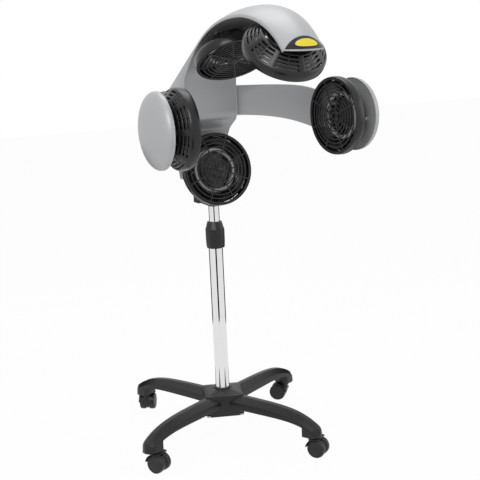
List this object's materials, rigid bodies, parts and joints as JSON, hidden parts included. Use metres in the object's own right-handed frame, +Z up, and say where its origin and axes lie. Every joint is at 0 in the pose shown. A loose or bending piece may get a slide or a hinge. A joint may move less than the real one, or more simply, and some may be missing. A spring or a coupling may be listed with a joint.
{
  "type": "hair color processor",
  "caption": "Floor-standing infrared hair processor: ringed lamps on a silver arch and two swinging arms, on a height-adjustable pole with a castered leg base.",
  "frame": {"origin": "on the floor under the pole axis", "axes": "+Z up, -Y towards the client side where the arch ends, +X to the side of the right arm"},
  "size_m": [0.6164, 0.8885, 1.203],
  "materials": {
    "black_plastic": "moulded, semi-matt",
    "wheel_black": "moulded, smooth",
    "steel": "turned or pressed steel",
    "chrome": "polished",
    "bracket_black": "powder coated",
    "silver_plastic": "satin silver",
    "liner_grey": "satin grey",
    "gloss_black": "glossy",
    "quartz": "quartz tube with ceramic ends",
    "post_silver": "turned",
    "badge_yellow": "glossy",
    "panel_grey": "fine grain"
  },
  "bodies": {
    "base": {"base_legs": "black_plastic", "hub_cover": "black_plastic", "hub_plate": "steel", "lower_tube": "chrome", "collar_sleeve": "black_plastic"},
    "caster_a": {"caster_hood_a": "black_plastic", "caster_steel_a": "steel"},
    "wheels_a": {"caster_wheels_a": "wheel_black"},
    "caster_b": {"caster_hood_b": "black_plastic", "caster_steel_b": "steel"},
    "wheels_b": {"caster_wheels_b": "wheel_black"},
    "caster_c": {"caster_hood_c": "black_plastic", "caster_steel_c": "steel"},
    "wheels_c": {"caster_wheels_c": "wheel_black"},
    "caster_d": {"caster_hood_d": "black_plastic", "caster_steel_d": "steel"},
    "wheels_d": {"caster_wheels_d": "wheel_black"},
    "collar": {"lock_collar": "black_plastic"},
    "mast": {"upper_tube": "chrome", "tube_glide": "black_plastic"},
    "bracket": {"elbow": "bracket_black", "tilt_pin": "steel"},
    "clamp_knob": {"tilt_knob": "black_plastic"},
    "head": {"tilt_lug": "bracket_black", "spine_shell": "silver_plastic", "spine_liner": "liner_grey", "tip_panel": "gloss_black", "tip_badge": "badge_yellow", "lamp_posts": "post_silver", "arm_pins": "steel", "control_panel": "panel_grey", "timer_unit": "black_plastic", "power_inlet": "gloss_black", "nape_lamp_housing": "gloss_black", "nape_lamp_grille": "gloss_black", "nape_lamp_element": "quartz", "rear_lamp_housing": "gloss_black", "rear_lamp_grille": "gloss_black", "rear_lamp_element": "quartz", "front_lamp_housing": "gloss_black", "front_lamp_grille": "gloss_black", "front_lamp_element": "quartz"},
    "right_swing_arm": {"right_arm": "silver_plastic", "right_disc_pin": "steel"},
    "right_head": {"right_disc": "silver_plastic", "right_disc_plate": "liner_grey", "right_lamp_posts": "post_silver", "right_lamp_housing": "gloss_black", "right_lamp_grille": "gloss_black", "right_lamp_element": "quartz"},
    "left_swing_arm": {"left_arm": "silver_plastic", "left_disc_pin": "steel"},
    "left_head": {"left_disc": "silver_plastic", "left_disc_plate": "liner_grey", "left_lamp_posts": "post_silver", "left_lamp_housing": "gloss_black", "left_lamp_grille": "gloss_black", "left_lamp_element": "quartz"},
    "timer_dial": {"timer_knob": "gloss_black"},
    "rocker": {"power_rocker": "gloss_black"}
  },
  "joints": [
    {"name": "caster_swivel_a", "type": "hinge", "parent": "base", "child": "caster_a", "pos_m": [-0.13892, 0.27265, 0.04], "axis": [0, 0, 1], "continuous": true},
    {"name": "wheel_roll_a", "type": "hinge", "parent": "caster_a", "child": "wheels_a", "pos_m": [-0.12885, 0.28876, 0.025], "axis": [0.848, -0.5299, 0], "continuous": true},
    {"name": "caster_swivel_b", "type": "hinge", "parent": "base", "child": "caster_b", "pos_m": [-0.27265, -0.13892, 0.04], "axis": [0, 0, 1], "continuous": true},
    {"name": "wheel_roll_b", "type": "hinge", "parent": "caster_b", "child": "wheels_b", "pos_m": [-0.26315, -0.15538, 0.025], "axis": [-0.866, -0.5, 0], "continuous": true},
    {"name": "caster_swivel_c", "type": "hinge", "parent": "base", "child": "caster_c", "pos_m": [0.13892, -0.27265, 0.04], "axis": [0, 0, 1], "continuous": true},
    {"name": "wheel_roll_c", "type": "hinge", "parent": "caster_c", "child": "wheels_c", "pos_m": [0.15009, -0.28802, 0.025], "axis": [-0.809, -0.5878, 0], "continuous": true},
    {"name": "caster_swivel_d", "type": "hinge", "parent": "base", "child": "caster_d", "pos_m": [0.27265, 0.13892, 0.04], "axis": [0, 0, 1], "continuous": true},
    {"name": "wheel_roll_d", "type": "hinge", "parent": "caster_d", "child": "wheels_d", "pos_m": [0.25809, 0.15113, 0.025], "axis": [0.6428, 0.766, 0], "continuous": true},
    {"name": "mast_lift", "type": "slide", "parent": "base", "child": "mast", "axis": [0, 0, 1], "range_m": [0, 0.33]},
    {"name": "collar_twist", "type": "hinge", "parent": "base", "child": "collar", "pos_m": [0, 0, 0.585], "axis": [0, 0, 1], "range_deg": [-60, 0]},
    {"name": "head_turn", "type": "hinge", "parent": "mast", "child": "bracket", "pos_m": [0, 0, 0.65], "axis": [0, 0, 1], "range_deg": [-170, 170]},
    {"name": "head_tilt", "type": "hinge", "parent": "bracket", "child": "head", "pos_m": [0, 0.072, 0.713], "axis": [1, 0, 0], "range_deg": [-18, 0]},
    {"name": "tilt_clamp", "type": "hinge", "parent": "bracket", "child": "clamp_knob", "pos_m": [0.03, 0.072, 0.713], "axis": [1, 0, 0], "range_deg": [0, 270]},
    {"name": "right_arm_swing", "type": "hinge", "parent": "head", "child": "right_swing_arm", "pos_m": [0.061, 0.026, 0.955], "axis": [0, 0, 1], "range_deg": [-8, 25]},
    {"name": "left_arm_swing", "type": "hinge", "parent": "head", "child": "left_swing_arm", "pos_m": [-0.061, 0.026, 0.955], "axis": [0, 0, 1], "range_deg": [-25, 8]},
    {"name": "right_head_turn", "type": "hinge", "parent": "right_swing_arm", "child": "right_head", "pos_m": [0.2585, -0.193, 0.921], "axis": [0, 0, 1], "range_deg": [-19, 5]},
    {"name": "left_head_turn", "type": "hinge", "parent": "left_swing_arm", "child": "left_head", "pos_m": [-0.2585, -0.193, 0.921], "axis": [0, 0, 1], "range_deg": [-14, 10]},
    {"name": "timer_turn", "type": "hinge", "parent": "head", "child": "timer_dial", "pos_m": [0, 0.119, 0.892], "axis": [0, 1, 0], "range_deg": [0, 300]},
    {"name": "power_rock", "type": "hinge", "parent": "head", "child": "rocker", "pos_m": [0, 0.114, 0.84], "axis": [1, 0, 0], "range_deg": [-6, 0]}
  ]
}
